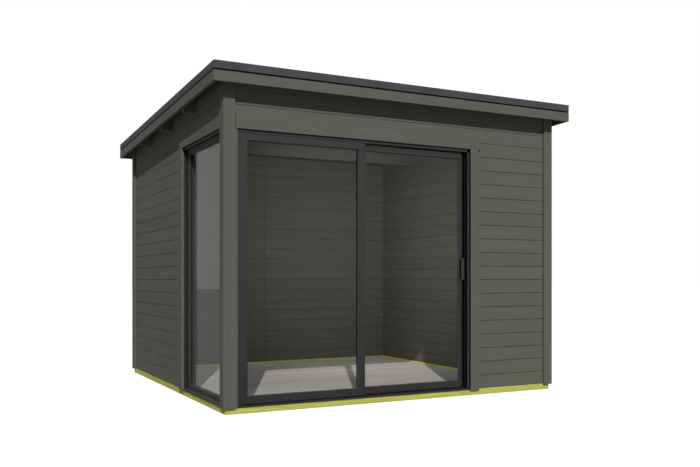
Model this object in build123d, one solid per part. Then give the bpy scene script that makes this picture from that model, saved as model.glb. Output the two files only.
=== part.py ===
"""Garden house with a low mono-pitch roof, a corner window and a two-leaf sliding door.

Millimetres, +Z up, the front faces -Y. The origin is on the ground in the middle of the house.
"""
from build123d import *
import math
import os

# House body, to the outer faces of the corner boards; the header is over the frames, at the front
body_width = 2990.0
body_depth = 2990.0
header_height = 380.2
roof_pitch = 2.25

# Foundation and floor
beam_height = 49.0
beam_width = 100.0
floor_thick = 19.0
floor_sink = 10.0
joist_width = 45.0
joist_count = 6

# Walls, corner post, corner boards and casings
wall_thick = 44.0
post_margin = 1.0
post_strip_sink = 8.0
cover_thick = 20.0
corner_board_width = 88.0
casing_width = 86.0
casing_lap = 10.0
head_board_height = 167.0
head_board_lap = 4.0
head_board_end = 10.0
board_foot_height = 45.0

# Roof
roof_overhang = 102.0
deck_thick = 19.0
fascia_height = 110.0
fascia_thick = 20.0
purlin_depth = 120.0
purlin_width = 45.0
purlin_count = 3
covering_thick = 4.0
kerb_height = 32.0
kerb_width = 60.0
drip_thick = 4.0
drip_height = 56.0
drip_gap = 8.0

# Aluminium frames of the door and the window
frame_setback = 5.0
frame_face = 28.0
frame_web = 8.0
frame_lip = 5.0
frame_rib = 3.0
frame_height = 1996.0
door_frame_width = 2027.0
window_frame_width = 999.0
window_front_face = 13.0
sill_thick = 12.0
sill_floor_thick = 4.0
sill_nose = 8.0
sill_drop = 2.0
nose_fall = 2.0
rail_width = 8.0
rail_height = 20.0

# Leaves, sash and glass
leaf_thick = 30.0
run_gap = 5.0
stile_width = 53.0
closing_stile = 30.0
interlock_setback = 10.0
bottom_rail = 54.0
top_rail = 50.0
lift_gap = 9.0
sash_inset = 25.0
sash_face = 52.0
sash_foot = 34.0
glass_thick = 8.0
glass_bite = 12.0
closing_pocket = 41.0
seal_thick = 24.0

# Rollers and pull handle
roller_radius = 10.0
roller_flange = 3.0
roller_flange_thick = 3.0
roller_side_gap = 0.5
axle_radius = 4.0
seat_gap = 0.3
handle_width = 26.0
handle_length = 179.0
handle_depth = 25.0
handle_bar = 9.0
handle_foot = 22.0
handle_round = 6.0
handle_foot_height = 957.0

# Faces and levels that several pieces share
left = -body_width / 2
right = body_width / 2
front = -body_depth / 2
back = body_depth / 2
wall_left = left + cover_thick
wall_right = right - cover_thick
wall_front = front + cover_thick
wall_back = back - cover_thick
roof_left = left - roof_overhang
roof_right = right + roof_overhang
roof_front = front - roof_overhang
roof_back = back + roof_overhang
slope = math.tan(math.radians(roof_pitch))
deck_top = kerb_height
deck_under = deck_top + deck_thick
gap_foot = drip_height + drip_gap
fascia_foot = deck_top + fascia_height
purlin_foot = deck_under + purlin_depth
frame_head_height = beam_height + frame_height
total_height = frame_head_height + header_height + deck_under + (wall_front - roof_front) * slope
head_board_foot = frame_head_height - head_board_lap
floor_top = beam_height - floor_sink
sill_top = beam_height + sill_thick
sill_floor = beam_height + sill_floor_thick
rail_top = sill_floor + rail_height
leaf_foot = sill_top + run_gap
head_channel_foot = frame_head_height - frame_face
glass_top = head_channel_foot - top_rail
frame_depth = 2 * (frame_lip + leaf_thick + run_gap) + frame_rib
outer_track = frame_lip
inner_track = frame_lip + leaf_thick + frame_rib + run_gap
post_size = frame_setback + frame_depth + post_margin
door_left = wall_left + post_size
door_right = door_left + door_frame_width
door_front = wall_front + frame_setback
window_front = wall_front + post_size
window_back = window_front + window_frame_width
window_left = wall_left + frame_setback


def block(x_from, x_to, y_from, y_to, z_from, z_to):
    """Box between two corners."""
    corner = Pos(x_from, y_from, z_from)
    return corner * Box(x_to - x_from, y_to - y_from, z_to - z_from, align=(Align.MIN,) * 3)


def along_x(points, x_from, x_to):
    """Outline in Y and Z drawn out along X."""
    outline = Plane.YZ.offset(x_from) * make_face(Polyline(*points, close=True))
    return extrude(outline, x_to - x_from, dir=(1, 0, 0))


def along_z(points, z_from, z_to):
    """Outline in X and Y drawn out along Z."""
    outline = Plane.XY.offset(z_from) * make_face(Polyline(*points, close=True))
    return extrude(outline, z_to - z_from, dir=(0, 0, 1))


def roof_level(y, below_top):
    """Height at y of a layer that lies a given depth below the sloping roof top."""
    return total_height - below_top - (y - roof_front) * slope


def roof_slab(x_from, x_to, y_from, y_to, top, foot):
    """Sloping layer between two depths below the roof top, with plumb ends."""
    points = [
        (y_from, roof_level(y_from, foot)),
        (y_to, roof_level(y_to, foot)),
        (y_to, roof_level(y_to, top)),
        (y_from, roof_level(y_from, top)),
    ]
    return along_x(points, x_from, x_to)


def under_deck(x_from, x_to, y_from, y_to, z_from):
    """Upright slab from a level foot to the sloping underside of the roof deck."""
    points = [
        (y_from, z_from),
        (y_to, z_from),
        (y_to, roof_level(y_to, deck_under)),
        (y_from, roof_level(y_from, deck_under)),
    ]
    return along_x(points, x_from, x_to)


def foundation():
    """Four beams laid flat on the ground, the side beams between the front and back ones."""
    inner_front = wall_front + beam_width
    inner_back = wall_back - beam_width
    return {
        "front_beam": block(wall_left, wall_right, wall_front, inner_front, 0, beam_height),
        "back_beam": block(wall_left, wall_right, inner_back, wall_back, 0, beam_height),
        "left_beam": block(wall_left, wall_left + beam_width, inner_front, inner_back, 0, beam_height),
        "right_beam": block(wall_right - beam_width, wall_right, inner_front, inner_back, 0, beam_height),
    }


def floor_pieces():
    """Floor between the beams, on joists that run from front to back."""
    x_from = wall_left + beam_width
    x_to = wall_right - beam_width
    y_from = wall_front + beam_width
    y_to = wall_back - beam_width
    floor_foot = floor_top - floor_thick
    pitch = (x_to - x_from - joist_width) / (joist_count - 1)
    joists = []
    for number in range(joist_count):
        x = x_from + number * pitch
        joists.append(block(x, x + joist_width, y_from, y_to, 0, floor_foot))
    return {
        "floor": block(x_from, x_to, y_from, y_to, floor_foot, floor_top),
        "floor_joists": Compound(joists),
    }


def purlins():
    """Beams under the roof deck that run from side to side, out to the fascias."""
    x_from = roof_left + drip_thick + fascia_thick
    x_to = roof_right - drip_thick - fascia_thick
    y_from = wall_front + wall_thick
    bay = (wall_back - wall_thick - y_from) / (purlin_count + 1)
    beams = []
    for number in range(purlin_count):
        y = y_from + (number + 1) * bay - purlin_width / 2
        beams.append(roof_slab(x_from, x_to, y, y + purlin_width, deck_under, purlin_foot))
    return Compound(beams)


def walls(roof_beams):
    """Wall slabs split beside and over the openings, the side walls notched for the purlins."""
    inner_front = wall_front + wall_thick
    inner_back = wall_back - wall_thick
    inner_left = wall_left + wall_thick
    inner_right = wall_right - wall_thick
    left_header = under_deck(wall_left, inner_left, window_front, window_back, frame_head_height)
    left_wall = under_deck(wall_left, inner_left, window_back, inner_back, beam_height)
    right_wall = under_deck(inner_right, wall_right, inner_front, inner_back, beam_height)
    return {
        "front_wall": under_deck(door_right, wall_right, wall_front, inner_front, beam_height),
        "front_header": under_deck(door_left, door_right, wall_front, inner_front, frame_head_height),
        "left_wall": left_wall - roof_beams.solids(),
        "left_header": left_header - roof_beams.solids(),
        "right_wall": right_wall - roof_beams.solids(),
        "back_wall": under_deck(wall_left, wall_right, inner_back, wall_back, beam_height),
    }


def corner_post():
    """Post between the door and the window, with two strips that fill in beside the corner board."""
    post = under_deck(wall_left, door_left, wall_front, window_front, beam_height)
    x_from = left + corner_board_width
    y_from = front + corner_board_width
    x_strip = left + post_strip_sink
    y_strip = front + post_strip_sink
    front_strip = block(x_from, door_left, y_strip, wall_front, beam_height, head_board_foot)
    left_strip = block(x_strip, wall_left, y_from, window_front, beam_height, frame_head_height)
    return post + front_strip + left_strip


def corner_board(x_side, y_side):
    """Angle of two boards round a corner of the house; the sides are -1 or +1."""
    x_out = right if x_side > 0 else left
    y_out = back if y_side > 0 else front
    x_leg = sorted((x_out, x_out - x_side * corner_board_width))
    y_leg = sorted((y_out, y_out - y_side * corner_board_width))
    x_core = sorted((x_out - x_side * cover_thick, x_out - x_side * corner_board_width))
    y_core = sorted((y_out - y_side * cover_thick, y_out - y_side * corner_board_width))
    column = under_deck(*x_leg, *y_leg, board_foot_height)
    core = block(*x_core, *y_core, board_foot_height, total_height)
    return column - core


def cover_boards():
    """Corner boards, and the flat boards over and beside the door and the window."""
    head_top = head_board_foot + head_board_height
    door_edge = door_right - casing_lap
    window_edge = window_back - casing_lap
    x_from = left + corner_board_width
    y_from = front + corner_board_width
    x_to = door_edge + casing_width
    y_to = window_edge + casing_width
    x_end = x_to + head_board_end
    return {
        "front_left_corner_board": corner_board(-1, -1),
        "front_right_corner_board": corner_board(1, -1),
        "back_left_corner_board": corner_board(-1, 1),
        "back_right_corner_board": corner_board(1, 1),
        "door_head_board": block(x_from, x_end, front, wall_front, head_board_foot, head_top),
        "door_casing": block(door_edge, x_to, front, wall_front, board_foot_height, head_board_foot),
        "window_head_board": block(left, wall_left, y_from, y_to, frame_head_height, head_top),
        "window_casing": block(left, wall_left, window_edge, y_to, board_foot_height, frame_head_height),
    }


def edge_trim(y_edge, inward):
    """Roof edge kerb across the front or the back, with drips down the fascia and round both ends."""
    y_drip = y_edge + inward * drip_thick
    y_kerb = y_edge + inward * kerb_width
    kerb = roof_slab(roof_left, roof_right, *sorted((y_edge, y_kerb)), 0, deck_top)
    drip = roof_slab(roof_left, roof_right, *sorted((y_edge, y_drip)), deck_top, drip_height)
    span = sorted((y_drip, y_kerb))
    left_end = roof_slab(roof_left, roof_left + drip_thick, *span, deck_top, drip_height)
    right_end = roof_slab(roof_right - drip_thick, roof_right, *span, deck_top, drip_height)
    return kerb + drip + left_end + right_end


def side_trim(x_edge, inward):
    """Roof edge kerb down one side, between the front and back kerbs, with its drip."""
    span = (roof_front + kerb_width, roof_back - kerb_width)
    kerb = roof_slab(*sorted((x_edge, x_edge + inward * kerb_width)), *span, 0, deck_top)
    drip = roof_slab(*sorted((x_edge, x_edge + inward * drip_thick)), *span, deck_top, drip_height)
    return kerb + drip


def fascias(x_in, y_in):
    """Four boards round the deck, flush with the drips, thinner behind each drip and the gap below it."""
    x_face = (roof_left, roof_right)
    y_face = (roof_front, roof_back)
    x_back = (roof_left + drip_thick, roof_right - drip_thick)
    y_back = (roof_front + drip_thick, roof_back - drip_thick)
    boards = {}
    for end, name in enumerate(("front", "back")):
        upper = roof_slab(*x_back, *sorted((y_back[end], y_in[end])), deck_top, gap_foot)
        lower = roof_slab(*x_face, *sorted((y_face[end], y_in[end])), gap_foot, fascia_foot)
        boards[name + "_fascia"] = upper + lower
    for side, name in enumerate(("left", "right")):
        upper = roof_slab(*sorted((x_back[side], x_in[side])), *y_in, deck_top, gap_foot)
        lower = roof_slab(*sorted((x_face[side], x_in[side])), *y_in, gap_foot, fascia_foot)
        boards[name + "_fascia"] = upper + lower
    return boards


def roof():
    """Deck, fascias, covering and edge trims, all parallel to the roof's slope."""
    inset = drip_thick + fascia_thick
    x_in = (roof_left + inset, roof_right - inset)
    y_in = (roof_front + inset, roof_back - inset)
    x_top = (roof_left + kerb_width, roof_right - kerb_width)
    y_top = (roof_front + kerb_width, roof_back - kerb_width)
    return {
        "roof_deck": roof_slab(*x_in, *y_in, deck_top, deck_under),
        "roof_covering": roof_slab(*x_top, *y_top, deck_top - covering_thick, deck_top),
        **fascias(x_in, y_in),
        "front_edge_trim": edge_trim(roof_front, 1),
        "back_edge_trim": edge_trim(roof_back, -1),
        "left_edge_trim": side_trim(roof_left, 1),
        "right_edge_trim": side_trim(roof_right, -1),
    }


def track_section():
    """Two-track frame section: a web with a front lip, a rib between the tracks and a back lip."""
    rib_front = outer_track + leaf_thick
    rib_back = rib_front + frame_rib
    back_lip = frame_depth - frame_lip
    return [
        (0, 0),
        (frame_face, 0),
        (frame_face, frame_lip),
        (frame_web, frame_lip),
        (frame_web, rib_front),
        (frame_face, rib_front),
        (frame_face, rib_back),
        (frame_web, rib_back),
        (frame_web, back_lip),
        (frame_face, back_lip),
        (frame_face, frame_depth),
        (0, frame_depth),
    ]


def window_section():
    """Frame section for a fixed sash: a web with a low front lip and a full back lip."""
    back_lip = frame_depth - frame_lip
    return [
        (0, 0),
        (window_front_face, 0),
        (window_front_face, frame_lip),
        (frame_web, frame_lip),
        (frame_web, back_lip),
        (frame_face, back_lip),
        (frame_face, frame_depth),
        (0, frame_depth),
    ]


def frame_members(section, width):
    """Head of a frame that starts at the origin, runs along +X and is +Y deep, and jambs fitted under it."""
    mirrored = [(width - across, depth) for across, depth in section]
    hanging = [(depth, frame_head_height - across) for across, depth in section]
    head = along_x(hanging, 0, width)
    left_jamb = along_z(section, sill_top, frame_head_height) - head
    right_jamb = along_z(mirrored, sill_top, frame_head_height) - head
    return left_jamb, right_jamb, head


def flat_sill(width, nose_from, nose_to):
    """Sill of a frame: a flat base, and a sloping nose that laps down over the beam."""
    beam_face = -frame_setback
    nose = beam_face - sill_nose
    nose_section = [
        (nose, beam_height - sill_drop),
        (beam_face, beam_height - sill_drop),
        (beam_face, beam_height),
        (0, beam_height),
        (0, sill_top),
        (nose, sill_top - nose_fall),
    ]
    base = block(0, width, 0, frame_depth, beam_height, sill_top)
    return base + along_x(nose_section, nose_from, nose_to)


def track_sill(width, nose_from, nose_to, fixed_to):
    """Sill hollowed between two lips, with a rail in each track; the outer rail ends with the fixed leaf."""
    x_from = frame_web
    x_to = width - frame_web
    hollow = block(x_from, x_to, frame_lip, frame_depth - frame_lip, sill_floor, sill_top)
    sill = flat_sill(width, nose_from, nose_to) - hollow
    for track, x_end in ((outer_track, fixed_to), (inner_track, x_to)):
        y = track + (leaf_thick - rail_width) / 2
        sill = sill + block(x_from, x_end, y, y + rail_width, sill_floor, rail_top)
    return sill


def glazed(x_span, z_span, x_light, z_light, y_from):
    """Frame round one light, and the pane that bites into it on all sides."""
    y_to = y_from + leaf_thick
    y_glass = y_from + (leaf_thick - glass_thick) / 2
    body = block(*x_span, y_from, y_to, *z_span)
    light = block(*x_light, y_from, y_to, *z_light)
    pane = block(
        x_light[0] - glass_bite,
        x_light[1] + glass_bite,
        y_glass,
        y_glass + glass_thick,
        z_light[0] - glass_bite,
        z_light[1] + glass_bite,
    )
    return body - light - pane, pane


def leaf(x_span, z_top, x_light, track, rail_clearance):
    """Glazed leaf in one track: its frame, grooved below for the rail, and its pane."""
    z_light = (leaf_foot + bottom_rail, glass_top)
    body, pane = glazed(x_span, (leaf_foot, z_top), x_light, z_light, track)
    y_groove = track + (leaf_thick - rail_width) / 2 - run_gap
    groove_width = rail_width + 2 * run_gap
    groove_top = rail_top + rail_clearance
    groove = block(*x_span, y_groove, y_groove + groove_width, leaf_foot, groove_top)
    return body - groove, pane


def roller(x, track):
    """Flanged wheel on its axle, running on the rail of one track."""
    tread_half = rail_width / 2 + roller_side_gap
    flange_radius = roller_radius + roller_flange
    axle_half = rail_width / 2 + run_gap
    rim = tread_half + roller_flange_thick
    half_section = [
        (0, -axle_half),
        (axle_radius, -axle_half),
        (axle_radius, -rim),
        (flange_radius, -rim),
        (flange_radius, -tread_half),
        (roller_radius, -tread_half),
        (roller_radius, tread_half),
        (flange_radius, tread_half),
        (flange_radius, rim),
        (axle_radius, rim),
        (axle_radius, axle_half),
        (0, axle_half),
    ]
    outline = make_face(Polyline(*half_section, close=True))
    wheel = revolve(outline, Axis.Y)
    z = rail_top + seat_gap + roller_radius
    return Pos(x, track + leaf_thick / 2, z) * wheel


def roller_pocket(x, track):
    """Room for one wheel in the bottom rail."""
    reach = roller_radius + roller_flange + run_gap
    half = rail_width / 2 + run_gap
    y = track + leaf_thick / 2
    z_top = rail_top + seat_gap + roller_radius + reach
    return block(x - reach, x + reach, y - half, y + half, leaf_foot, z_top)


def pull_handle(x_to, y_face):
    """Bow handle on the front of a leaf, ending at x_to."""
    y_out = y_face - handle_depth
    z_from = handle_foot_height
    z_to = z_from + handle_length
    bow = block(x_to - handle_width, x_to, y_out, y_face, z_from, z_to)
    outer_edges = bow.edges().filter_by(Axis.X).group_by(Axis.Y)[0]
    bow = fillet(outer_edges, handle_round)
    grip_gap = block(
        x_to - handle_width, x_to, y_out + handle_bar, y_face, z_from + handle_foot, z_to - handle_foot
    )
    return bow - grip_gap


def door():
    """Sliding door: frame with two tracks, fixed leaf in the outer one, sliding leaf in the inner one."""
    place = Pos(door_left, door_front, 0)
    left_jamb, right_jamb, head = frame_members(track_section(), door_frame_width)
    middle = door_frame_width / 2
    half_stile = stile_width / 2
    fixed_span = (frame_web, middle + half_stile)
    fixed_light = (frame_face + stile_width, middle - half_stile)
    fixed_top = frame_head_height - frame_web
    fixed_frame, fixed_pane = leaf(fixed_span, fixed_top, fixed_light, outer_track, 0)
    slide_to = door_frame_width - frame_web - closing_pocket
    slide_span = (middle - half_stile + interlock_setback, slide_to)
    slide_light = (middle + half_stile, slide_to - closing_stile)
    slide_top = head_channel_foot - lift_gap
    slide_frame, slide_pane = leaf(slide_span, slide_top, slide_light, inner_track, run_gap)
    for x in slide_light:
        slide_frame = slide_frame - roller_pocket(x, inner_track)
    wheels = Compound([roller(x, inner_track) for x in slide_light])
    seal_front = inner_track + (leaf_thick - seal_thick) / 2
    seal = block(
        slide_to + run_gap,
        door_frame_width - frame_web,
        seal_front,
        seal_front + seal_thick,
        rail_top,
        head_channel_foot,
    )
    pieces = {
        "door_left_jamb": left_jamb,
        "door_right_jamb": right_jamb,
        "door_head": head,
        "door_sill": track_sill(door_frame_width, 0, door_frame_width - casing_lap, fixed_span[1]),
        "closing_seal": seal,
        "fixed_leaf_frame": fixed_frame,
        "fixed_leaf_glass": fixed_pane,
        "sliding_leaf_frame": slide_frame,
        "sliding_leaf_glass": slide_pane,
        "leaf_rollers": wheels,
        "pull_handle": pull_handle(slide_to, inner_track),
    }
    return {name: place * piece for name, piece in pieces.items()}


def window():
    """Fixed window, turned to face left: a sash set into its frame, lower at the foot than elsewhere."""
    place = Location((window_left, window_back, 0), (0, 0, -90))
    back_jamb, front_jamb, head = frame_members(window_section(), window_frame_width)
    x_span = (frame_web, window_frame_width - frame_web)
    z_span = (sill_top, frame_head_height - frame_web)
    x_light = (x_span[0] + sash_face, x_span[1] - sash_face)
    z_light = (z_span[0] + sash_foot, z_span[1] - sash_face)
    sash, pane = glazed(x_span, z_span, x_light, z_light, sash_inset)
    pieces = {
        "window_back_jamb": back_jamb,
        "window_front_jamb": front_jamb,
        "window_head": head,
        "window_sill": flat_sill(window_frame_width, casing_lap, window_frame_width),
        "window_sash": sash,
        "window_glass": pane,
    }
    return {name: place * piece for name, piece in pieces.items()}


def house():
    """Every piece of the house by name."""
    roof_beams = purlins()
    pieces = {"purlins": roof_beams, "corner_post": corner_post()}
    pieces.update(foundation())
    pieces.update(floor_pieces())
    pieces.update(walls(roof_beams))
    pieces.update(cover_boards())
    pieces.update(roof())
    pieces.update(door())
    pieces.update(window())
    return pieces


os.makedirs("parts", exist_ok=True)
for name, piece in house().items():
    export_step(piece, f"parts/{name}.step")
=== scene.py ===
"""Looks of the garden house: boards, finishes, glass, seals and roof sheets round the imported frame.

Metres, +Z up, the front faces -Y.
"""
import math

import bmesh
import bpy
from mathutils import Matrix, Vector


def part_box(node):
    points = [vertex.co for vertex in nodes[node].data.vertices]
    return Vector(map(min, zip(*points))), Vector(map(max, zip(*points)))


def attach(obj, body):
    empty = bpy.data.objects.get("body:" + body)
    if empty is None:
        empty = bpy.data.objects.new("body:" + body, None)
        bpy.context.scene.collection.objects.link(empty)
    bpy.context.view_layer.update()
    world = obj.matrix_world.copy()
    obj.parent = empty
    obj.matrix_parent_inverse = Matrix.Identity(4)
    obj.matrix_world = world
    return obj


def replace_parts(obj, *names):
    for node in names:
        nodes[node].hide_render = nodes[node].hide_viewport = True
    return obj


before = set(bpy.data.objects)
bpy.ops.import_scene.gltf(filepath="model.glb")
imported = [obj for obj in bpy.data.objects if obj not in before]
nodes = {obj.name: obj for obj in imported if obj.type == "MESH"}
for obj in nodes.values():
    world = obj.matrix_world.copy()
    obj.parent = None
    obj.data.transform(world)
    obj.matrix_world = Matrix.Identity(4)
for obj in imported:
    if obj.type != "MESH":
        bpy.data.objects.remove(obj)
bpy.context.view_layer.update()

MM = 0.001

# Camera at the photograph's place: level, with the picture's centre shifted
IMAGE_WIDTH = 700.0
IMAGE_HEIGHT = 467.0
FOCAL_PX = 809.7
AXIS_PX = (361.6, 277.756)
CAMERA_AT = (-3.2946, -7.0049, 0.9753)
CAMERA_TURN = math.radians(27.773)
SENSOR_MM = 36.0
CLIP_END = 200.0

# Light: the directions are the ways it travels, and the room's lamp stands just inside the door
SUN_TRAVEL = (0.318, 0.705, -0.632)
SUN_STRENGTH = 3.38
SUN_ANGLE = math.radians(0.8)
BACK_TRAVEL = (-0.5, -0.75, -0.43)
BACK_STRENGTH = 1.3
TOP_TRAVEL = (0.0, 0.0, -1.0)
TOP_STRENGTH = 0.64
FILL_STRENGTH = 0.195
ROOM_WATTS = 18.0
ROOM_AT = (-0.3, -1.05, 1.35)
ROOM_AIM = (0.55, 0.83, 0.05)
ROOM_SIZE = (0.8, 1.2)
ROOM_SPREAD = math.radians(110.0)

# Stage floor: it glows for the camera, less so in mirrors, and lights nothing by that
STAGE_HALF = 60.0
FLOOR_ALBEDO = 0.3
FLOOR_GLOW = 0.75
FLOOR_IN_MIRROR = 0.35

# Boards of the walls, how clear of an edge a joint stays, and an upright joint inside the back wall
BOARD_FIRST = 958.45 * MM
BOARD_PITCH = 114.0 * MM
BOARD_CLEAR = 12.0 * MM
BOARD_SLOT_HALF = 0.95 * MM
BOARD_SLOT_DEPTH = 9.0 * MM
BOARD_CHAMFER = 2.8 * MM
BACK_JOINT_X = -64.0 * MM
BACK_JOINT_HALF = 3.0 * MM
BACK_JOINT_DEPTH = 6.0 * MM

# Boards of the floor and the roof deck
ROOF_SLOPE = math.tan(math.radians(2.25))
FLOOR_PITCH = 120.0 * MM
FLOOR_GROOVE_HALF = 1.6 * MM
FLOOR_GROOVE_DEPTH = 2.4 * MM
DECK_PITCH = 96.0 * MM
DECK_GROOVE_HALF = 3.0 * MM
DECK_GROOVE_DEPTH = 4.0 * MM

# Open joint beside the corner board, and a black dot at the head of the door casing, which is painted
# shade for the shadow under the head board's end
JOINT_WIDTH = 3.0 * MM
JOINT_DEPTH = 12.0 * MM
JOINT_HEIGHT = 116.0 * MM
SHADE_DOT_AT = (710.0 * MM, 2034.0 * MM)
SHADE_DOT_RADIUS = 7.0 * MM
SHADE_DOT_THICK = 1.5 * MM
SHADE_DOT_SINK = 1.0 * MM
SHADE_DOT_SIDES = 24

# Seals of the door and the window, and the frame section that they fit
FRAME_LIP = 5.0 * MM
FRAME_WEB = 8.0 * MM
TRACK_WIDTH = 30.0 * MM
POCKET_SETBACK = 1.0 * MM
SASH_SEAL_AND_SHADE = 4.0 * MM
REVEAL_STEP = 4.0 * MM
REVEAL_THICK = 10.0 * MM
GLASS_BITE = 12.0 * MM
GASKET_WIDTH = 4.5 * MM
GASKET_HEIGHT = 4.0 * MM
GASKET_SINK = 0.3 * MM
# Tapes: dark strips that are painted shade for the shadow gaps round the door and window frames
SHADE_TAPE_THICK = 3.0 * MM
SHADE_TAPE_SETBACK = 2.0 * MM
WINDOW_SHADE_TAPE_WIDTH = 12.0 * MM
BRUSH_WIDTH = 8.0 * MM
BRUSH_DEPTH = 3.0 * MM

# Roof edge: the drip of the CAD edge trim, the CAD gap under it, and a taller black strip of the scene
# under the drip, which is painted shade for the drip's shadow on the fascia
DRIP_THICK = 4.0 * MM
DRIP_HEIGHT = 56.0 * MM
DRIP_GAP = 8.0 * MM
EDGE_SHADOW_STRIP_HEIGHT = 12.0 * MM
EDGE_SHADOW_STRIP_SETBACK = 2.0 * MM

# Roof sheets
SHEET_WIDTH = 1000.0 * MM
SHEET_LAP = 80.0 * MM
SHEET_RISE = 3.0 * MM
LAP_RAMP = 15.0 * MM
UPSTAND_WIDTH = 36.0 * MM
UPSTAND_HEIGHT = 24.0 * MM
UPSTAND_SINK = 0.5 * MM

# Small rounds on edges that turn by more than an angle
ROUND_BEAM = 3.0 * MM
ROUND_TIMBER = 2.0 * MM
ROUND_FINE = 1.0 * MM
ROUND_TRIM = 1.2 * MM
ROUND_METAL = 0.8 * MM
ROUND_HANDLE = 2.0 * MM
ROUND_SEAL = 1.5 * MM
EDGE_ANGLE = math.radians(40.0)

# What counts as one point or one flat face, and how far cutting tools run past a face
SAME_POINT = 0.01 * MM
FLAT_ANGLE = math.radians(0.05)
CUT_OVERRUN = 5.0 * MM
GROOVE_OVERRUN = 1.0 * MM

# Colours, linear, and the glass: its share of mirror at a full slant and how late that rises
WHITE = (1.0, 1.0, 1.0, 1.0)
WALL_COLOUR = (0.107, 0.110, 0.091)
PALE_PINE = (0.56, 0.53, 0.14)
DARK_PINE = (0.38, 0.36, 0.08)
GREEN_SALTS = (0.86, 0.95, 0.72, 1.0)
GLASS_DULL = (0.925, 0.93, 0.925, 1.0)
GLASS_CLEAR = (0.945, 0.95, 0.945, 1.0)
GLASS_MIRROR = 0.36
GLASS_RISE = 5.0

# Grain: how far one board's pattern lies from the next one's, and the rings' middle in a beam
GRAIN_SHIFT = 37.0
RING_HEART = (0.021, 0.017, -0.063)

# Relief of the finishes
PAINT_RELIEF = 0.2 * MM
PINE_RELIEF = 0.4 * MM
FLOOR_RELIEF = 0.3 * MM
COAT_RELIEF = 0.06 * MM
RUBBER_RELIEF = 0.1 * MM
FELT_RELIEF = 0.5 * MM

AXIS = {"x": 0, "y": 1, "z": 2}


# Material graphs

def graph(name):
    """A material with an empty node tree."""
    material = bpy.data.materials.new(name)
    material.use_nodes = True
    material.node_tree.nodes.clear()
    return material, material.node_tree


def node(tree, kind, inputs=None, **settings):
    """A node with its settings, and its inputs set or linked."""
    made = tree.nodes.new(kind)
    for key, value in settings.items():
        setattr(made, key, value)
    for key, value in (inputs or {}).items():
        if isinstance(value, bpy.types.NodeSocket):
            tree.links.new(value, made.inputs[key])
        else:
            made.inputs[key].default_value = value
    return made


def maths(tree, operation, a, b=0.0):
    """Result of one sum."""
    return node(tree, "ShaderNodeMath", {0: a, 1: b}, operation=operation).outputs[0]


def ranged(tree, value, low, high, to_low, to_high):
    """Value moved from one range to another."""
    inputs = {"Value": value, "From Min": low, "From Max": high, "To Min": to_low, "To Max": to_high}
    return node(tree, "ShaderNodeMapRange", inputs).outputs["Result"]


def blended(tree, factor, a, b, blend="MIX"):
    """Two colours mixed."""
    inputs = {0: factor, 6: a, 7: b}
    return node(tree, "ShaderNodeMix", inputs, data_type="RGBA", blend_type=blend).outputs[2]


def noise(tree, place, stretch, detail=3.0, rough=0.55):
    """Noise over a place that is stretched along each axis."""
    mapped = node(tree, "ShaderNodeMapping", {"Vector": place, "Scale": stretch}).outputs["Vector"]
    inputs = {"Vector": mapped, "Scale": 1.0, "Detail": detail, "Roughness": rough}
    return node(tree, "ShaderNodeTexNoise", inputs).outputs["Fac"]


def own_board(tree, place, axis, first, pitch, grain):
    """Place shifted along the grain board by board, and a number from 0 to 1 for each board."""
    parts = node(tree, "ShaderNodeSeparateXYZ", {"Vector": place})
    across = maths(tree, "SUBTRACT", parts.outputs[AXIS[axis]], first)
    number = maths(tree, "FLOOR", maths(tree, "DIVIDE", across, pitch))
    tone = node(tree, "ShaderNodeTexWhiteNoise", {"W": number}, noise_dimensions="1D").outputs["Value"]
    shift = maths(tree, "MULTIPLY", tone, GRAIN_SHIFT)
    moved = {index: parts.outputs[index] for index in range(3)}
    moved[AXIS[grain]] = maths(tree, "ADD", parts.outputs[AXIS[grain]], shift)
    return node(tree, "ShaderNodeCombineXYZ", moved).outputs[0], tone


def stretched(grain, along, across):
    """Scale of a texture that is drawn out along the grain."""
    scale = [across] * 3
    scale[AXIS[grain]] = along
    return scale


def shades(colour, *factors):
    """Lighter and darker versions of a colour, with alpha."""
    return [tuple(channel * factor for channel in colour) + (1.0,) for factor in factors]


def varied(tree, tint, factor, low, high, colour=(1.0, 1.0, 1.0)):
    """Tint made darker and lighter by a factor from 0 to 1."""
    dark, light = shades(colour, low, high)
    return blended(tree, 1.0, tint, blended(tree, factor, dark, light), "MULTIPLY")


def finish_surface(tree, material, colour, rough, height, relief, specular):
    """Principled surface with a bump, joined to the output."""
    bump = node(tree, "ShaderNodeBump", {"Strength": 1.0, "Distance": relief, "Height": height})
    inputs = {
        "Base Color": colour,
        "Roughness": rough,
        "Specular IOR Level": specular,
        "Normal": bump.outputs["Normal"],
    }
    surface = node(tree, "ShaderNodeBsdfPrincipled", inputs)
    node(tree, "ShaderNodeOutputMaterial", {"Surface": surface.outputs[0]})
    return material


def painted_wood(name, colour, grain, board=None):
    """Matt opaque paint on planed softwood: fibres show as fine streaks along the grain."""
    material, tree = graph(name)
    place = node(tree, "ShaderNodeTexCoord").outputs["Object"]
    tone = 0.5
    if board:
        place, tone = own_board(tree, place, *board, grain)
    fibre = noise(tree, place, stretched(grain, 4.0, 260.0), detail=4.0)
    streak = noise(tree, place, stretched(grain, 0.9, 38.0), detail=2.0)
    cloud = noise(tree, place, (2.2, 2.2, 2.2), detail=2.0)
    dark, light = shades(colour, 0.94, 1.06)
    tint = blended(tree, ranged(tree, streak, 0.25, 0.75, 0.0, 1.0), dark, light)
    tint = varied(tree, tint, ranged(tree, fibre, 0.3, 0.7, 0.0, 1.0), 0.95, 1.05)
    tint = varied(tree, tint, cloud, 0.97, 1.03)
    tint = varied(tree, tint, tone, 0.97, 1.03)
    rough = ranged(tree, fibre, 0.3, 0.7, 0.8, 0.7)
    return finish_surface(tree, material, tint, rough, fibre, PAINT_RELIEF, 0.01)


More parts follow.
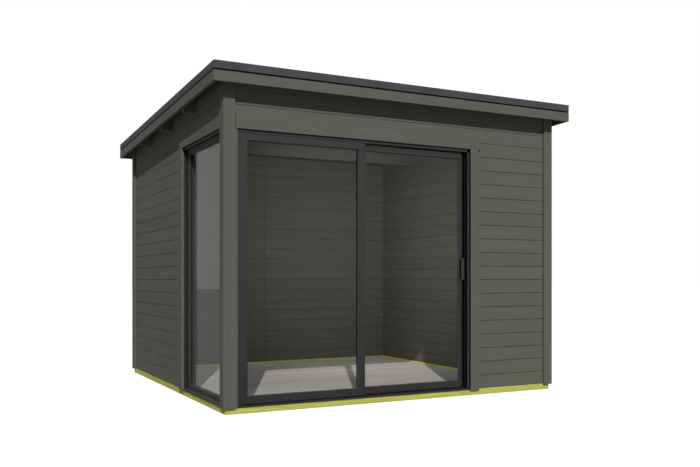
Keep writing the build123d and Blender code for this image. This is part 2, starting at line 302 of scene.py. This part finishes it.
def treated_timber(name, pale, dark, grain):
    """Pressure treated pine: growth rings round a line along the grain, with greenish salts."""
    material, tree = graph(name)
    place = node(tree, "ShaderNodeTexCoord").outputs["Object"]
    heart = list(RING_HEART)
    heart[AXIS[grain]] = 0.0
    squeeze = stretched(grain, 0.05, 1.0)
    mapped = node(tree, "ShaderNodeMapping", {"Vector": place, "Location": heart, "Scale": squeeze})
    inputs = {
        "Vector": mapped.outputs["Vector"],
        "Scale": 55.0,
        "Distortion": 5.0,
        "Detail": 3.0,
        "Detail Scale": 1.6,
    }
    turn = {"wave_type": "RINGS", "rings_direction": grain.upper()}
    rings = node(tree, "ShaderNodeTexWave", inputs, **turn).outputs["Fac"]
    fibre = noise(tree, place, stretched(grain, 5.0, 300.0), detail=4.0)
    stain = noise(tree, place, stretched(grain, 1.1, 9.0), detail=3.0)
    tint = blended(tree, ranged(tree, rings, 0.2, 1.0, 0.0, 0.65), pale + (1.0,), dark + (1.0,))
    tint = varied(tree, tint, fibre, 0.86, 1.1, (1.0, 1.0, 0.95))
    green = blended(tree, 1.0, tint, GREEN_SALTS, "MULTIPLY")
    tint = blended(tree, ranged(tree, stain, 0.4, 0.75, 0.0, 0.8), tint, green)
    rough = ranged(tree, fibre, 0.3, 0.7, 0.8, 0.66)
    return finish_surface(tree, material, tint, rough, fibre, PINE_RELIEF, 0.02)


def grey_floor(name, colour):
    """Grey oiled floor boards, each with its own tone and grain, running from side to side."""
    material, tree = graph(name)
    place = node(tree, "ShaderNodeTexCoord").outputs["Object"]
    place, tone = own_board(tree, place, "y", 0.0, FLOOR_PITCH, "x")
    fibre = noise(tree, place, stretched("x", 3.0, 150.0), detail=5.0, rough=0.65)
    streak = noise(tree, place, stretched("x", 1.2, 26.0), detail=3.0)
    dark, light = shades(colour, 0.8, 1.16)
    tint = blended(tree, ranged(tree, streak, 0.3, 0.7, 0.0, 1.0), dark, light)
    fine = ranged(tree, fibre, 0.3, 0.7, 0.0, 1.0)
    tint = varied(tree, tint, fine, 0.86, 1.12, (1.0, 0.99, 0.98))
    tint = varied(tree, tint, tone, 0.92, 1.06)
    rough = ranged(tree, fibre, 0.3, 0.7, 0.7, 0.56)
    return finish_surface(tree, material, tint, rough, fibre, FLOOR_RELIEF, 0.15)


def powder_coat(name, colour, rough, specular):
    """Powder coated aluminium with the fine orange peel of the coat and a little dust."""
    material, tree = graph(name)
    place = node(tree, "ShaderNodeTexCoord").outputs["Object"]
    peel = noise(tree, place, (900.0, 900.0, 900.0), detail=2.0)
    dust = noise(tree, place, (6.0, 6.0, 3.0), detail=4.0)
    dark, light = shades(colour, 0.86, 1.16)
    tint = blended(tree, ranged(tree, dust, 0.3, 0.7, 0.0, 1.0), dark, light)
    rougher = ranged(tree, dust, 0.3, 0.7, rough - 0.05, rough + 0.06)
    return finish_surface(tree, material, tint, rougher, peel, COAT_RELIEF, specular)


def rubber(name, colour):
    """Black seal rubber or brush pile, dull and a little dusty."""
    material, tree = graph(name)
    place = node(tree, "ShaderNodeTexCoord").outputs["Object"]
    grit = noise(tree, place, (500.0, 500.0, 500.0), detail=3.0)
    dust = noise(tree, place, (20.0, 20.0, 8.0), detail=3.0)
    dark, light = shades(colour, 0.75, 1.35)
    tint = blended(tree, dust, dark, light)
    rough = ranged(tree, grit, 0.3, 0.7, 0.75, 0.9)
    return finish_surface(tree, material, tint, rough, grit, RUBBER_RELIEF, 0.02)


def roofing_felt(name, colour):
    """Mineral roofing felt: fine slate granules with darker and lighter chips."""
    material, tree = graph(name)
    place = node(tree, "ShaderNodeTexCoord").outputs["Object"]
    chips = node(tree, "ShaderNodeTexVoronoi", {"Vector": place, "Scale": 420.0})
    patch = noise(tree, place, (1.6, 1.6, 1.6), detail=4.0)
    dark, light = shades(colour, 0.55, 1.6)
    tint = blended(tree, chips.outputs["Color"], dark, light)
    tint = varied(tree, tint, patch, 0.82, 1.15)
    rough = ranged(tree, patch, 0.3, 0.7, 0.85, 0.95)
    return finish_surface(tree, material, tint, rough, chips.outputs["Distance"], FELT_RELIEF, 0.15)


def tinted_glass(name):
    """Lightly tinted pane: clear where it is looked at squarely, more of a mirror at a slant."""
    material, tree = graph(name)
    facing = node(tree, "ShaderNodeLayerWeight", {"Blend": 0.5}).outputs["Facing"]
    rise = maths(tree, "POWER", facing, GLASS_RISE)
    mirror = ranged(tree, rise, 0.0, 1.0, 0.0, GLASS_MIRROR)
    place = node(tree, "ShaderNodeTexCoord").outputs["Object"]
    film = noise(tree, place, (3.0, 3.0, 1.2), detail=3.0)
    tint = blended(tree, film, GLASS_DULL, GLASS_CLEAR)
    clear = node(tree, "ShaderNodeBsdfTransparent", {"Color": tint})
    gloss = node(tree, "ShaderNodeBsdfGlossy", {"Color": WHITE, "Roughness": 0.0})
    both = node(tree, "ShaderNodeMixShader", {0: mirror, 1: clear.outputs[0], 2: gloss.outputs[0]})
    node(tree, "ShaderNodeOutputMaterial", {"Surface": both.outputs[0]})
    return material


board_rows = ("z", BOARD_FIRST, BOARD_PITCH)
wall_x = painted_wood("painted_boards_x", WALL_COLOUR, "x", board_rows)
wall_y = painted_wood("painted_boards_y", WALL_COLOUR, "y", board_rows)
trim_x = painted_wood("painted_trim_x", WALL_COLOUR, "x")
trim_y = painted_wood("painted_trim_y", WALL_COLOUR, "y")
trim_z = painted_wood("painted_trim_z", WALL_COLOUR, "z")
deck_paint = painted_wood("roof_boards", WALL_COLOUR, "y", ("x", 0.0, DECK_PITCH))
beam_x = treated_timber("treated_timber_x", PALE_PINE, DARK_PINE, "x")
beam_y = treated_timber("treated_timber_y", PALE_PINE, DARK_PINE, "y")
floor_wood = grey_floor("grey_floor_boards", (0.39, 0.373, 0.343))
felt = roofing_felt("roofing_felt", (0.055, 0.055, 0.058))
edge_coat = powder_coat("edge_coat", (0.064, 0.063, 0.068), 0.6, 0.02)
frame_coat = powder_coat("frame_coat", (0.007, 0.007, 0.007), 0.25, 0.52)
# Painted light: a lighter matt copy of the door frame's coat, used on the right jamb so that it shows as
# lit as the rest of the frame; the pull handle wears it too
matt_coat_painted_light = powder_coat("matt_frame_coat_painted_light", (0.046, 0.046, 0.043), 0.7, 0.01)
window_coat = powder_coat("window_coat", (0.041, 0.041, 0.039), 0.6, 0.03)
# Painted light: the window head gets a lighter copy of the frame coat, so that it looks lit though it
# sits in the recess's shade
head_coat_painted_light = powder_coat("window_head_painted_light_coat", (0.1, 0.1, 0.094), 0.5, 0.1)
black_rubber = rubber("black_rubber", (0.002, 0.002, 0.002))
dark_rubber = rubber("dark_rubber", (0.02, 0.02, 0.019))
grey_rubber = rubber("grey_rubber", (0.055, 0.055, 0.053))
roller_steel = powder_coat("roller_steel", (0.3, 0.3, 0.3), 0.35, 0.5)
glass = tinted_glass("tinted_glass")


# Mesh work

def made_object(name, bm, material):
    """Object at the origin from an edited mesh, with one material or none."""
    bmesh.ops.recalc_face_normals(bm, faces=bm.faces[:])
    mesh = bpy.data.meshes.new(name)
    bm.to_mesh(mesh)
    bm.free()
    if material:
        mesh.materials.append(material)
    made = bpy.data.objects.new(name, mesh)
    bpy.context.scene.collection.objects.link(made)
    return made


def bar(bm, section, place, start, end):
    """Closed bar: the section's points are (in, up), and place turns (along, in, up) into a point."""
    near = [bm.verts.new(place(start, *point)) for point in section]
    far = [bm.verts.new(place(end, *point)) for point in section]
    bm.faces.new(near)
    bm.faces.new(far[::-1])
    count = len(section)
    for index in range(count):
        after = (index + 1) % count
        bm.faces.new((near[after], near[index], far[index], far[after]))


def block(bm, low, high):
    """Rectangular block between its lowest and highest corners."""
    section = [(low[1], low[2]), (high[1], low[2]), (high[1], high[2]), (low[1], high[2])]
    bar(bm, section, lambda x, y, z: Vector((x, y, z)), low[0], high[0])


def ring(bm, place, low, high, section):
    """Mitred ring inside a rectangle: the section's points are (inset, out)."""
    loops = []
    for inset, out in section:
        corners = (
            (low[0] + inset, low[1] + inset),
            (high[0] - inset, low[1] + inset),
            (high[0] - inset, high[1] - inset),
            (low[0] + inset, high[1] - inset),
        )
        loops.append([bm.verts.new(place(across, up, out)) for across, up in corners])
    for here, after in zip(loops, loops[1:] + loops[:1]):
        for corner in range(4):
            follow = (corner + 1) % 4
            bm.faces.new((here[corner], here[follow], after[follow], after[corner]))


def facing_y(face, inward):
    """Place along X on an upright face that looks along Y."""
    return lambda along, inner, up: Vector((along, face + inward * inner, up))


def facing_x(face, inward):
    """Place along Y on an upright face that looks along X."""
    return lambda along, inner, up: Vector((face + inward * inner, along, up))


def solid_copy(node_name):
    """Edited mesh of a CAD node with its split corners joined and flat faces made whole."""
    bm = bmesh.new()
    bm.from_mesh(nodes[node_name].data)
    bmesh.ops.remove_doubles(bm, verts=bm.verts[:], dist=SAME_POINT)
    bmesh.ops.dissolve_limit(bm, angle_limit=FLAT_ANGLE, verts=bm.verts[:], edges=bm.edges[:])
    return bm


def added(piece, body="house"):
    """New piece that rides on a body."""
    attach(piece, body)
    return piece


def carved(name, node_name, cutter, material):
    """Copy of a CAD node with the cutter's bars taken out of it, standing for the node."""
    piece = made_object(name, solid_copy(node_name), material)
    tool = made_object(name + "_cutter", cutter, None)
    cut = piece.modifiers.new("cut", "BOOLEAN")
    cut.operation = "DIFFERENCE"
    cut.solver = "EXACT"
    cut.use_self = True
    cut.object = tool
    depsgraph = bpy.context.evaluated_depsgraph_get()
    result = bpy.data.meshes.new_from_object(piece.evaluated_get(depsgraph))
    piece.modifiers.clear()
    piece.data = result
    result.materials.clear()
    result.materials.append(material)
    bpy.data.objects.remove(tool)
    added(piece)
    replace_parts(piece, node_name)
    return piece


def soften(piece, width, segments=2):
    """Small round on the edges, after split corners are joined."""
    weld = piece.modifiers.new("weld", "WELD")
    weld.merge_threshold = SAME_POINT
    bevel = piece.modifiers.new("bevel", "BEVEL")
    bevel.width = width
    bevel.segments = segments
    bevel.limit_method = "ANGLE"
    bevel.angle_limit = EDGE_ANGLE
    return piece


def dress(node_name, material, edge=0.0):
    """Finish and softened edges for a CAD node that keeps its shape."""
    mesh = nodes[node_name].data
    mesh.materials.clear()
    mesh.materials.append(material)
    if edge:
        soften(nodes[node_name], edge)


def joint_places(low, high, pitch, first=0.0):
    """Places of the joints between boards, clear of both edges."""
    start = math.ceil((low + BOARD_CLEAR - first) / pitch)
    stop = math.floor((high - BOARD_CLEAR - first) / pitch)
    return [first + number * pitch for number in range(start, stop + 1)]


# Walls: horizontal tongue and groove boards, grooved outside and inside

def board_groove(height):
    """Joint between two boards: a slot, and a chamfer on the upper board's edge."""
    return [
        (-GROOVE_OVERRUN, height - BOARD_SLOT_HALF),
        (BOARD_SLOT_DEPTH, height - BOARD_SLOT_HALF),
        (BOARD_SLOT_DEPTH, height + BOARD_SLOT_HALF),
        (BOARD_CHAMFER, height + BOARD_SLOT_HALF),
        (0.0, height + BOARD_SLOT_HALF + BOARD_CHAMFER),
        (-GROOVE_OVERRUN, height + BOARD_SLOT_HALF + BOARD_CHAMFER),
    ]


def board_wall(node_name, side):
    """Boards in place of one wall slab; side is the way it faces."""
    low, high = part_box(node_name)
    across, along, outward = {
        "front": ("y", "x", -1),
        "back": ("y", "x", 1),
        "left": ("x", "y", -1),
        "right": ("x", "y", 1),
    }[side]
    index = AXIS[across]
    outer = low[index] if outward < 0 else high[index]
    inner = high[index] if outward < 0 else low[index]
    placing = facing_y if across == "y" else facing_x
    over = CUT_OVERRUN
    start = low[AXIS[along]] - over
    end = high[AXIS[along]] + over
    cutter = bmesh.new()
    for face, inward in ((outer, -outward), (inner, outward)):
        for height in joint_places(low.z, high.z, BOARD_PITCH, BOARD_FIRST):
            bar(cutter, board_groove(height), placing(face, inward), start, end)
    if side == "back":
        block(
            cutter,
            (BACK_JOINT_X - BACK_JOINT_HALF, inner - over, low.z - over),
            (BACK_JOINT_X + BACK_JOINT_HALF, inner + BACK_JOINT_DEPTH, high.z + over),
        )
    material = wall_x if along == "x" else wall_y
    carved(node_name + "_boards", node_name, cutter, material)


for wall, side in (
    ("front_wall", "front"),
    ("front_header", "front"),
    ("left_wall", "left"),
    ("left_header", "left"),
    ("right_wall", "right"),
    ("back_wall", "back"),
):
    board_wall(wall, side)


# Head board of the door, and a black dot of painted shade under its end

def head_board():
    """Board over the door, with an open joint beside the corner board."""
    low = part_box("door_head_board")[0]
    over = CUT_OVERRUN
    cutter = bmesh.new()
    block(
        cutter,
        (low.x - over, low.y - over, low.z - over),
        (low.x + JOINT_WIDTH, low.y + JOINT_DEPTH, low.z + JOINT_HEIGHT),
    )
    soften(carved("head_board", "door_head_board", cutter, trim_x), ROUND_FINE)


def casing_shade_dot():
    """Small round black disc at the top of the door casing: painted shade for the shadow under the head
    board's overhanging end.
    """
    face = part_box("door_casing")[0].y
    section = []
    for index in range(SHADE_DOT_SIDES):
        turn = 2.0 * math.pi * index / SHADE_DOT_SIDES
        x = SHADE_DOT_AT[0] + SHADE_DOT_RADIUS * math.cos(turn)
        z = SHADE_DOT_AT[1] + SHADE_DOT_RADIUS * math.sin(turn)
        section.append((x, z))
    bm = bmesh.new()
    bar(bm, section, lambda y, x, z: Vector((x, y, z)), face - SHADE_DOT_THICK, face + SHADE_DOT_SINK)
    added(made_object("casing_shade_dot", bm, black_rubber))


head_board()
casing_shade_dot()


# Floor and roof deck: boards with small grooves

def floor_boards():
    """Floor boards from side to side, with a fine groove at each joint."""
    low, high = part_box("floor")
    over = CUT_OVERRUN
    half = FLOOR_GROOVE_HALF
    deep = FLOOR_GROOVE_DEPTH
    cutter = bmesh.new()
    for y in joint_places(low.y, high.y, FLOOR_PITCH):
        section = [(y - half, over), (y + half, over), (y + half, 0.0), (y, -deep), (y - half, 0.0)]
        bar(
            cutter,
            section,
            lambda x, along, up: Vector((x, along, high.z + up)),
            low.x - over,
            high.x + over,
        )
    carved("floor_boarding", "floor", cutter, floor_wood)


def deck_boards():
    """Roof deck boards from front to back, with a V groove below each joint."""
    low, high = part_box("roof_deck")
    over = CUT_OVERRUN
    half = DECK_GROOVE_HALF
    deep = DECK_GROOVE_DEPTH
    cutter = bmesh.new()
    for x in joint_places(low.x, high.x, DECK_PITCH):
        section = [(x - half, 0.0), (x, deep), (x + half, 0.0), (x + half, -over), (x - half, -over)]
        bar(
            cutter,
            section,
            lambda y, along, up: Vector((along, y, low.z + (high.y - y) * ROOF_SLOPE + up)),
            low.y - over,
            high.y + over,
        )
    carved("roof_deck_boards", "roof_deck", cutter, deck_paint)


floor_boards()
deck_boards()


# Roof covering: felt sheets laid across the slope, lapped towards the low back edge

def roof_sheets():
    """Lapped sheets in place of the covering, and their upstands against the kerbs."""
    low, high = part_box("roof_covering")
    thick = high.z - low.z - (high.y - low.y) * ROOF_SLOPE
    surface = [(low.y, 0.0)]
    edge = low.y + SHEET_WIDTH
    while edge < high.y:
        lap = edge - SHEET_LAP
        surface += [(lap - LAP_RAMP, 0.0), (lap, SHEET_RISE), (edge, SHEET_RISE), (edge, 0.0)]
        edge += SHEET_WIDTH - SHEET_LAP
    surface.append((high.y, 0.0))
    section = surface + [(high.y, -thick), (low.y, -thick)]

    def on_roof(x, y, up):
        return Vector((x, y, high.z - (y - low.y) * ROOF_SLOPE + up))

    sheets = bmesh.new()
    bar(sheets, section, on_roof, low.x, high.x)
    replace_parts(added(made_object("roof_sheets", sheets, felt)), "roof_covering")
    upstands = bmesh.new()
    profile = [(0.0, -UPSTAND_SINK), (UPSTAND_WIDTH, -UPSTAND_SINK), (0.0, UPSTAND_HEIGHT)]
    ring(upstands, on_roof, low.xy, high.xy, profile)
    added(made_object("roof_upstands", upstands, felt))


def roof_top(y):
    """Height of the roof edge's top at y."""
    low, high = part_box("front_edge_trim")
    return high.z - (y - low.y) * ROOF_SLOPE


def fascia_boards():
    """Fascias whose rebate under the drip is as tall as the black strip of painted shade in it."""
    ledge = DRIP_HEIGHT + DRIP_GAP
    for side, paint in (("front", trim_x), ("back", trim_x), ("left", trim_y), ("right", trim_y)):
        bm = solid_copy(side + "_fascia")
        for vert in bm.verts:
            depth = roof_top(vert.co.y) - vert.co.z
            if abs(depth - ledge) < DRIP_GAP / 2:
                vert.co.z -= EDGE_SHADOW_STRIP_HEIGHT - DRIP_GAP
        board = added(made_object(side + "_fascia_board", bm, paint))
        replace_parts(soften(board, ROUND_FINE), side + "_fascia")


def painted_shadow_edge_strips():
    """Black strip under the drip of the roof edge, round all four sides: painted shade for the shadow
    that the drip throws on the fascia.
    """
    low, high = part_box("front_edge_trim")
    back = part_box("back_edge_trim")[1].y
    near = EDGE_SHADOW_STRIP_SETBACK
    far = DRIP_THICK
    top = -DRIP_HEIGHT
    foot = top - EDGE_SHADOW_STRIP_HEIGHT
    section = [(near, foot), (far, foot), (far, top), (near, top)]
    bm = bmesh.new()
    for x_edge, inward in ((low.x, 1), (high.x, -1)):
        bar(
            bm,
            section,
            lambda y, inner, up: Vector((x_edge + inward * inner, y, roof_top(y) + up)),
            low.y + far,
            back - far,
        )
    for y_edge, inward in ((low.y, 1), (back, -1)):
        bar(
            bm,
            section,
            lambda x, inner, up: Vector((x, y_edge + inward * inner, roof_top(y_edge) + up)),
            low.x + near,
            high.x - near,
        )
    # painted shade: a black strip where the drip's shadow falls on the fascia
    added(made_object("painted_shadow_edge_strips", bm, black_rubber))


roof_sheets()
fascia_boards()
painted_shadow_edge_strips()


# Seals of the door and the window, and dark strips that are painted shade in their gaps

def gaskets(name, pane, across, body="house"):
    """Wedge seals round both faces of a pane, against its frame."""
    low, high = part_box(pane)
    index = AXIS[across]
    through = 1 - index
    light_low = (low[index] + GLASS_BITE, low.z + GLASS_BITE)
    light_high = (high[index] - GLASS_BITE, high.z - GLASS_BITE)
    sink = GASKET_SINK
    section = [(-sink, -sink), (GASKET_WIDTH, -sink), (GASKET_WIDTH, sink), (-sink, GASKET_HEIGHT)]
    bm = bmesh.new()
    for face, outward in ((low[through], -1), (high[through], 1)):

        def place(along, up, out):
            point = Vector((0.0, 0.0, up))
            point[index] = along
            point[through] = face + outward * out
            return point

        ring(bm, place, light_low, light_high, section)
    added(made_object(name, bm, grey_rubber), body)


def painted_shade_tapes():
    """Dark tape between the frames and the boards over them, and down the door casing's inner edge:
    painted shade for the shadow gaps under the head boards and beside the casing.
    """
    frame_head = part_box("door_head")[0]
    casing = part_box("door_casing")[0]
    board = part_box("door_head_board")[0]
    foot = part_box("door_sill")[0].z
    y_from = board.y + SHADE_TAPE_SETBACK
    x_tape = casing.x - SHADE_TAPE_THICK
    bm = bmesh.new()
    block(bm, (x_tape, y_from, foot), (casing.x, frame_head.y, board.z))
    block(bm, (frame_head.x, y_from, board.z - SHADE_TAPE_THICK), (x_tape, frame_head.y, board.z))
    added(made_object("door_painted_shade_tapes", bm, dark_rubber))
    frame_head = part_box("window_head")[0]
    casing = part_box("window_casing")[0]
    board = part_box("window_head_board")[0]
    x_from = board.x + SHADE_TAPE_SETBACK
    x_to = x_from + WINDOW_SHADE_TAPE_WIDTH
    bm = bmesh.new()
    block(bm, (x_from, frame_head.y, board.z - SHADE_TAPE_THICK), (x_to, casing.y, board.z))
    added(made_object("window_painted_shade_tape", bm, black_rubber))


def meeting_brush():
    """Brush pile on the back of the fixed leaf's meeting stile, clear of the sliding leaf."""
    low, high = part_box("fixed_leaf_frame")
    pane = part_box("fixed_leaf_glass")[1]
    middle = (pane.x - GLASS_BITE + high.x) / 2
    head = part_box("door_head")[0]
    bm = bmesh.new()
    block(
        bm,
        (middle - BRUSH_WIDTH / 2, high.y, low.z),
        (middle + BRUSH_WIDTH / 2, high.y + BRUSH_DEPTH, head.z),
    )
    added(made_object("meeting_brush", bm, black_rubber))


def pocket_painted_shade_strip():
    """Black strip that closes the right jamb's empty outer track: painted shade for the dark inside of
    the channel.
    """
    low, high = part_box("door_right_jamb")
    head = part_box("door_head")[0]
    y_from = low.y + FRAME_LIP
    bm = bmesh.new()
    block(
        bm,
        (low.x + POCKET_SETBACK, y_from, low.z),
        (high.x - FRAME_WEB, y_from + TRACK_WIDTH, head.z),
    )
    # painted shade: black strip in place of the channel's shadow
    added(made_object("pocket_painted_shade_strip", bm, black_rubber))


def sash_seal_and_shade():
    """Dark seal between the window frame's lips and its sash, at both jambs and the head: partly a real
    seal, partly painted shade for the channel that the lips shade.
    """
    frame_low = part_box("window_head")[0]
    low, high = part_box("window_sash")
    x_from = frame_low.x + FRAME_LIP
    bm = bmesh.new()
    block(bm, (x_from, low.y, low.z), (low.x, low.y + SASH_SEAL_AND_SHADE, high.z))
    block(bm, (x_from, high.y - SASH_SEAL_AND_SHADE, low.z), (low.x, high.y, high.z))
    block(bm, (x_from, low.y + SASH_SEAL_AND_SHADE, high.z - SASH_SEAL_AND_SHADE), (low.x, high.y - SASH_SEAL_AND_SHADE, high.z))
    # partly painted shade: the dark seal stands for the shaded channel behind the lips
    added(made_object("sash_seal_and_shade", bm, dark_rubber))


def window_reveal():
    """Bead round the room's side of the sash, back to the frame's inner face."""
    low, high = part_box("window_glass")
    x_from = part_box("window_sash")[1].x
    x_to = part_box("window_head")[1].x
    edge = GLASS_BITE - REVEAL_STEP
    section = [(edge, x_from), (edge, x_to), (edge - REVEAL_THICK, x_to), (edge - REVEAL_THICK, x_from)]
    bm = bmesh.new()
    ring(bm, lambda y, z, x: Vector((x, y, z)), low.yz, high.yz, section)
    added(made_object("window_reveal", bm, edge_coat))


gaskets("fixed_leaf_gaskets", "fixed_leaf_glass", "x")
gaskets("sliding_leaf_gaskets", "sliding_leaf_glass", "x", "sliding_leaf")
gaskets("window_gaskets", "window_glass", "y")
painted_shade_tapes()
meeting_brush()
pocket_painted_shade_strip()
sash_seal_and_shade()
window_reveal()


# Pieces that keep their CAD shape

for finish, edge, names in (
    (
        trim_z,
        ROUND_TIMBER,
        (
            "front_left_corner_board",
            "front_right_corner_board",
            "back_left_corner_board",
            "back_right_corner_board",
            "corner_post",
            "door_casing",
            "window_casing",
        ),
    ),
    (trim_y, ROUND_TIMBER, ("window_head_board",)),
    (trim_x, ROUND_BEAM, ("purlins",)),
    (beam_x, ROUND_BEAM, ("front_beam", "back_beam")),
    (beam_y, ROUND_BEAM, ("left_beam", "right_beam", "floor_joists")),
    (
        edge_coat,
        ROUND_TRIM,
        ("front_edge_trim", "back_edge_trim", "left_edge_trim", "right_edge_trim"),
    ),
    (
        frame_coat,
        ROUND_METAL,
        ("door_left_jamb", "door_head", "door_sill", "fixed_leaf_frame", "sliding_leaf_frame"),
    ),
    # painted light: the right jamb wears the lighter matt copy of the frame coat
    (matt_coat_painted_light, ROUND_METAL, ("door_right_jamb",)),
    (matt_coat_painted_light, ROUND_HANDLE, ("pull_handle",)),
    # painted light: lighter coat on the shaded window head
    (head_coat_painted_light, ROUND_METAL, ("window_head",)),
    (
        window_coat,
        ROUND_METAL,
        ("window_back_jamb", "window_front_jamb", "window_sill", "window_sash"),
    ),
    (black_rubber, ROUND_SEAL, ("closing_seal",)),
    (roller_steel, 0.0, ("leaf_rollers",)),
    (glass, 0.0, ("fixed_leaf_glass", "sliding_leaf_glass", "window_glass")),
):
    for name in names:
        dress(name, finish, edge)


# Stage

def background_rays(tree, mirrored):
    """1 for rays that see the background directly or through glass, less in a mirror, 0 for the rest."""
    path = node(tree, "ShaderNodeLightPath")
    glossy = maths(tree, "MULTIPLY", path.outputs["Is Glossy Ray"], mirrored)
    total = maths(tree, "ADD", path.outputs["Is Camera Ray"], glossy)
    total = maths(tree, "ADD", total, path.outputs["Is Transmission Ray"])
    return maths(tree, "MINIMUM", total, 1.0)


def lamp_object(name, lamp, travel):
    """Lamp put in the scene, shining one way."""
    holder = bpy.data.objects.new(name, lamp)
    holder.rotation_euler = Vector(travel).to_track_quat("-Z", "Y").to_euler()
    bpy.context.scene.collection.objects.link(holder)
    return holder


def distant_light(name, strength, travel):
    """Far lamp that shines one way."""
    lamp = bpy.data.lights.new(name, "SUN")
    lamp.energy = strength
    lamp.angle = SUN_ANGLE
    lamp_object(name, lamp, travel)
    return lamp


def room_light():
    """Soft light inside the door, aimed at the room's far corner and not seen itself."""
    lamp = bpy.data.lights.new("room_light", "AREA")
    lamp.shape = "RECTANGLE"
    lamp.size, lamp.size_y = ROOM_SIZE
    lamp.energy = ROOM_WATTS
    lamp.spread = ROOM_SPREAD
    holder = lamp_object("room_light", lamp, ROOM_AIM)
    holder.location = ROOM_AT
    holder.visible_camera = False
    holder.visible_glossy = False
    holder.visible_transmission = False


def stage_floor():
    """Pale floor that keeps the house's shadow and shows white elsewhere."""
    bm = bmesh.new()
    bmesh.ops.create_grid(bm, x_segments=1, y_segments=1, size=STAGE_HALF)
    material, tree = graph("stage_floor")
    seen = background_rays(tree, FLOOR_IN_MIRROR)
    matt = node(tree, "ShaderNodeBsdfDiffuse", {"Color": (FLOOR_ALBEDO,) * 3 + (1.0,)})
    strength = maths(tree, "MULTIPLY", seen, FLOOR_GLOW)
    glow = node(tree, "ShaderNodeEmission", {"Color": WHITE, "Strength": strength})
    both = node(tree, "ShaderNodeAddShader", {0: matt.outputs[0], 1: glow.outputs[0]})
    node(tree, "ShaderNodeOutputMaterial", {"Surface": both.outputs[0]})
    made_object("stage_floor", bm, material)


def sky():
    """White background that fills the shadows with a little light."""
    world = bpy.data.worlds.new("studio")
    bpy.context.scene.world = world
    world.use_nodes = True
    tree = world.node_tree
    tree.nodes.clear()
    strength = ranged(tree, background_rays(tree, 1.0), 0.0, 1.0, FILL_STRENGTH, 1.0)
    backdrop = node(tree, "ShaderNodeBackground", {"Color": WHITE, "Strength": strength})
    node(tree, "ShaderNodeOutputWorld", {"Surface": backdrop.outputs[0]})


def camera():
    """Level camera turned to the photograph's angle."""
    lens = bpy.data.cameras.new("camera")
    lens.sensor_fit = "HORIZONTAL"
    lens.sensor_width = SENSOR_MM
    lens.lens = FOCAL_PX * SENSOR_MM / IMAGE_WIDTH
    lens.shift_x = (IMAGE_WIDTH / 2 - AXIS_PX[0]) / IMAGE_WIDTH
    lens.shift_y = (AXIS_PX[1] - IMAGE_HEIGHT / 2) / IMAGE_WIDTH
    lens.clip_end = CLIP_END
    made = bpy.data.objects.new("camera", lens)
    made.location = CAMERA_AT
    made.rotation_euler = (math.radians(90.0), 0.0, -CAMERA_TURN)
    bpy.context.scene.collection.objects.link(made)
    bpy.context.scene.camera = made


stage_floor()
sky()
distant_light("sun", SUN_STRENGTH, SUN_TRAVEL)
distant_light("back_light", BACK_STRENGTH, BACK_TRAVEL)
distant_light("top_light", TOP_STRENGTH, TOP_TRAVEL).use_shadow = False
room_light()
camera()
bpy.context.scene.view_settings.view_transform = "Standard"
